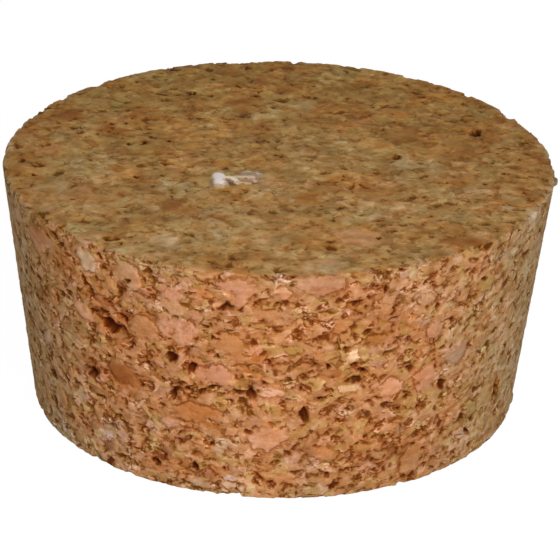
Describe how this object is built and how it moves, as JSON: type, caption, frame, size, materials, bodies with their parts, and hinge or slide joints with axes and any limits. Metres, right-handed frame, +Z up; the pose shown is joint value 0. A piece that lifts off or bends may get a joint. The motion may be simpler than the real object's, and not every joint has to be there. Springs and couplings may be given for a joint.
{
  "type": "cork stopper",
  "caption": "Wide tapered plug of coarse agglomerated cork, flat on both faces, with a ground conical wall that wedges into the mouth of a jar.",
  "frame": {"origin": "centre of the narrow bottom face, in the plane that the stopper stands on", "axes": "+Z up along the plug's axis, from the narrow face to the wide face; the pictured side faces -Y, with +X to its right"},
  "size_m": [0.0834, 0.083, 0.0385],
  "materials": {
    "cork": "matte ground cork granules, tan, salmon and brown, with small dark gaps"
  },
  "bodies": {
    "root": {"stopper": "cork"}
  },
  "joints": []
}
